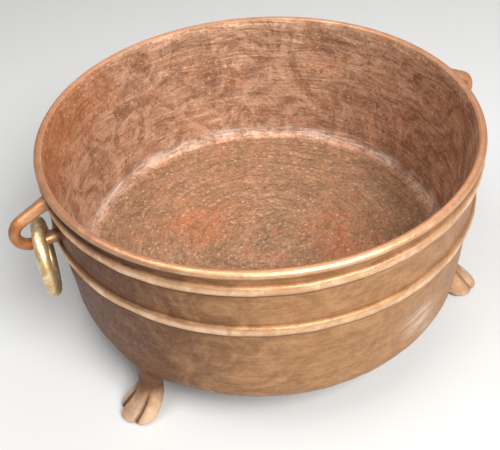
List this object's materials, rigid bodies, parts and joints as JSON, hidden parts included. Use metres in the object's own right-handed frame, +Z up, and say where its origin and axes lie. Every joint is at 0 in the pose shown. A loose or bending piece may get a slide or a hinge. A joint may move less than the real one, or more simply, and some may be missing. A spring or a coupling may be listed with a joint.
{
  "type": "bronze bowl",
  "caption": "Round cast bronze bowl with raised beads, standing on paw feet, with loose rings hanging in looped side lugs.",
  "frame": {"origin": "on the ground, under the middle of the outline; the bowl's own axis is 4.7 mm nearer the front, because the back paw reaches past the rim", "axes": "+X along the line of the two lugs, +Y towards the back paw, +Z up"},
  "size_m": [0.2128, 0.1902, 0.095],
  "materials": {
    "patinated_bronze": "brown patina on cast bronze, worn bright on the lip, beads, lugs and toes, grainy inside",
    "ring_brass": "pale worn brass with a dull satin surface"
  },
  "bodies": {
    "bowl": {"bowl": "patinated_bronze"},
    "ring_left": {"ring_left": "ring_brass"},
    "ring_right": {"ring_right": "ring_brass"}
  },
  "joints": [
    {"name": "left_ring_swing", "type": "hinge", "parent": "bowl", "child": "ring_left", "pos_m": [-0.09546, -0.01219, 0.0784], "axis": [0.1132, 0.9936, 0], "range_deg": [-5, 170]},
    {"name": "right_ring_swing", "type": "hinge", "parent": "bowl", "child": "ring_right", "pos_m": [0.09543, -0.00636, 0.0784], "axis": [0.1736, -0.9848, 0], "range_deg": [-5, 170]}
  ]
}
